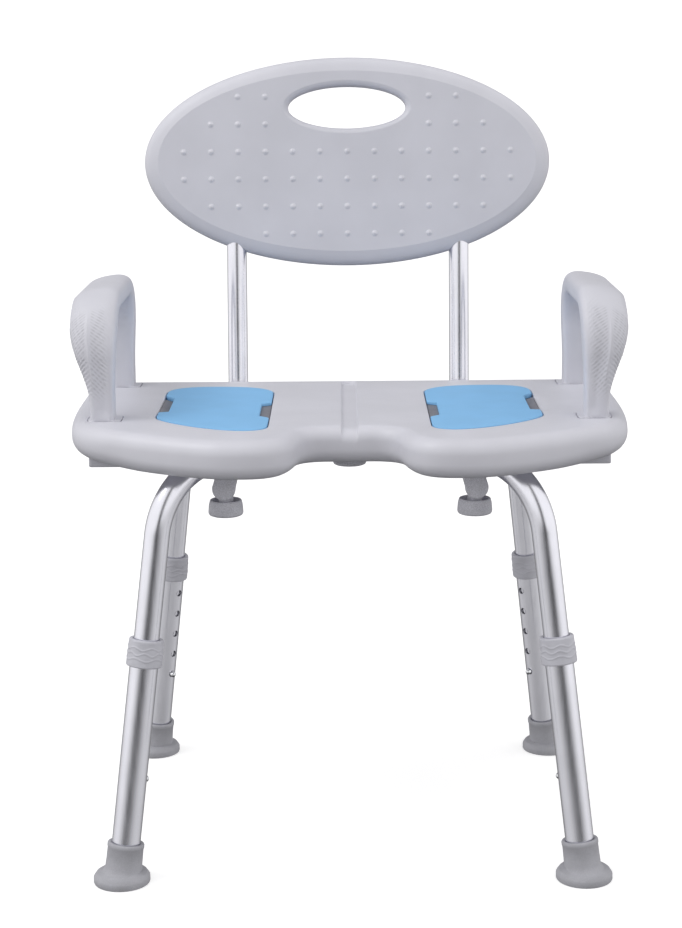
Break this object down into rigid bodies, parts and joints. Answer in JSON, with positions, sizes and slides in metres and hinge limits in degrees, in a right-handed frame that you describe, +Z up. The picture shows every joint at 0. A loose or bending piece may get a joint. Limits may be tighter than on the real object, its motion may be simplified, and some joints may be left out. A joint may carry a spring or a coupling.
{
  "type": "shower stool",
  "caption": "Shower stool with a contoured seat, lift-out soft inserts, loop armrests, oval backrest and splayed telescopic aluminium legs on rubber feet.",
  "frame": {"origin": "on the floor under the middle of the bounding box", "axes": "+Z up, -Y towards the front of the seat where the user sits down, +X towards the right armrest seen from the front"},
  "size_m": [0.576, 0.4604, 0.7986],
  "materials": {
    "seat_plastic": "light grey blow-moulded polyethylene, fine matt grain",
    "arm_plastic": "off-white blow-moulded polyethylene with a scaled grip texture",
    "aluminium": "anodised, lightly brushed along the tube",
    "steel": "bright plated steel",
    "grey_plastic": "mid grey moulded plastic",
    "foot_rubber": "grey moulded rubber, matt",
    "insert_foam": "light blue closed-cell foam skin",
    "dark_plastic": "dark grey moulded plastic"
  },
  "bodies": {
    "frame": {"cross_tube_a": "aluminium", "cross_tube_b": "aluminium", "spring_clip_front_left": "steel", "spring_clip_front_right": "steel", "spring_clip_rear_right": "steel", "spring_clip_rear_left": "steel", "back_tube_left": "aluminium", "back_tube_plug_left": "grey_plastic", "back_tube_right": "aluminium", "back_tube_plug_right": "grey_plastic", "seat_nut_front_left": "steel", "seat_nut_front_right": "steel", "seat_nut_rear_right": "steel", "seat_nut_rear_left": "steel", "seat_nut_hub": "steel", "seat": "seat_plastic", "backrest": "seat_plastic", "insert_tray_left": "dark_plastic", "insert_tray_right": "dark_plastic"},
    "leg_front_left": {"lower_leg_front_left": "aluminium", "collar_front_left": "grey_plastic", "foot_front_left": "foot_rubber"},
    "button_front_left": {"button_front_left": "steel"},
    "leg_front_right": {"lower_leg_front_right": "aluminium", "collar_front_right": "grey_plastic", "foot_front_right": "foot_rubber"},
    "button_front_right": {"button_front_right": "steel"},
    "leg_rear_right": {"lower_leg_rear_right": "aluminium", "collar_rear_right": "grey_plastic", "foot_rear_right": "foot_rubber"},
    "button_rear_right": {"button_rear_right": "steel"},
    "leg_rear_left": {"lower_leg_rear_left": "aluminium", "collar_rear_left": "grey_plastic", "foot_rear_left": "foot_rubber"},
    "button_rear_left": {"button_rear_left": "steel"},
    "knob_front_left": {"knob_front_left": "grey_plastic", "stud_front_left": "steel"},
    "knob_front_right": {"knob_front_right": "grey_plastic", "stud_front_right": "steel"},
    "knob_rear_right": {"knob_rear_right": "grey_plastic", "stud_rear_right": "steel"},
    "knob_rear_left": {"knob_rear_left": "grey_plastic", "stud_rear_left": "steel"},
    "knob_hub": {"knob_hub": "grey_plastic", "stud_hub": "steel"},
    "armrest_left": {"armrest_left": "arm_plastic"},
    "insert_left": {"insert_left": "insert_foam"},
    "armrest_right": {"armrest_right": "arm_plastic"},
    "insert_right": {"insert_right": "insert_foam"}
  },
  "joints": [
    {"name": "leg_front_left_slide", "type": "slide", "parent": "frame", "child": "leg_front_left", "axis": [-0.1156, -0.096, -0.9886], "range_m": [0, 0.1], "deforming": ["button_front_left"]},
    {"name": "button_front_left_press", "type": "slide", "parent": "frame", "child": "button_front_left", "axis": [-0.7605, -0.6317, 0.1503], "range_m": [0, 0.006], "stiffness_N_per_m": 300, "springref_m": -0.002, "deforming": ["spring_clip_front_left"]},
    {"name": "leg_front_right_slide", "type": "slide", "parent": "frame", "child": "leg_front_right", "axis": [0.1156, -0.096, -0.9886], "range_m": [0, 0.1], "deforming": ["button_front_right"]},
    {"name": "button_front_right_press", "type": "slide", "parent": "frame", "child": "button_front_right", "axis": [0.7605, -0.6317, 0.1503], "range_m": [0, 0.006], "stiffness_N_per_m": 300, "springref_m": -0.002, "deforming": ["spring_clip_front_right"]},
    {"name": "leg_rear_right_slide", "type": "slide", "parent": "frame", "child": "leg_rear_right", "axis": [0.1156, 0.096, -0.9886], "range_m": [0, 0.1], "deforming": ["button_rear_right"]},
    {"name": "button_rear_right_press", "type": "slide", "parent": "frame", "child": "button_rear_right", "axis": [0.7605, 0.6317, 0.1503], "range_m": [0, 0.006], "stiffness_N_per_m": 300, "springref_m": -0.002, "deforming": ["spring_clip_rear_right"]},
    {"name": "leg_rear_left_slide", "type": "slide", "parent": "frame", "child": "leg_rear_left", "axis": [-0.1156, 0.096, -0.9886], "range_m": [0, 0.1], "deforming": ["button_rear_left"]},
    {"name": "button_rear_left_press", "type": "slide", "parent": "frame", "child": "button_rear_left", "axis": [-0.7605, 0.6317, 0.1503], "range_m": [0, 0.006], "stiffness_N_per_m": 300, "springref_m": -0.002, "deforming": ["spring_clip_rear_left"]},
    {"name": "knob_front_left_turn", "type": "hinge", "parent": "frame", "child": "knob_front_left", "pos_m": [-0.1246, -0.11489, 0.365], "axis": [0, 0, 1], "continuous": true},
    {"name": "knob_front_right_turn", "type": "hinge", "parent": "frame", "child": "knob_front_right", "pos_m": [0.1246, -0.11489, 0.365], "axis": [0, 0, 1], "continuous": true},
    {"name": "knob_rear_right_turn", "type": "hinge", "parent": "frame", "child": "knob_rear_right", "pos_m": [0.1246, 0.09213, 0.365], "axis": [0, 0, 1], "continuous": true},
    {"name": "knob_rear_left_turn", "type": "hinge", "parent": "frame", "child": "knob_rear_left", "pos_m": [-0.1246, 0.09213, 0.365], "axis": [0, 0, 1], "continuous": true},
    {"name": "knob_hub_turn", "type": "hinge", "parent": "frame", "child": "knob_hub", "pos_m": [0, -0.01138, 0.39], "axis": [0, 0, 1], "continuous": true},
    {"name": "armrest_left_lift", "type": "slide", "parent": "frame", "child": "armrest_left", "axis": [0, 0, 1], "range_m": [0, 0.06]},
    {"name": "insert_left_lift", "type": "slide", "parent": "frame", "child": "insert_left", "axis": [0, 0, 1], "range_m": [0, 0.03]},
    {"name": "armrest_right_lift", "type": "slide", "parent": "frame", "child": "armrest_right", "axis": [0, 0, 1], "range_m": [0, 0.06]},
    {"name": "insert_right_lift", "type": "slide", "parent": "frame", "child": "insert_right", "axis": [0, 0, 1], "range_m": [0, 0.03]}
  ]
}
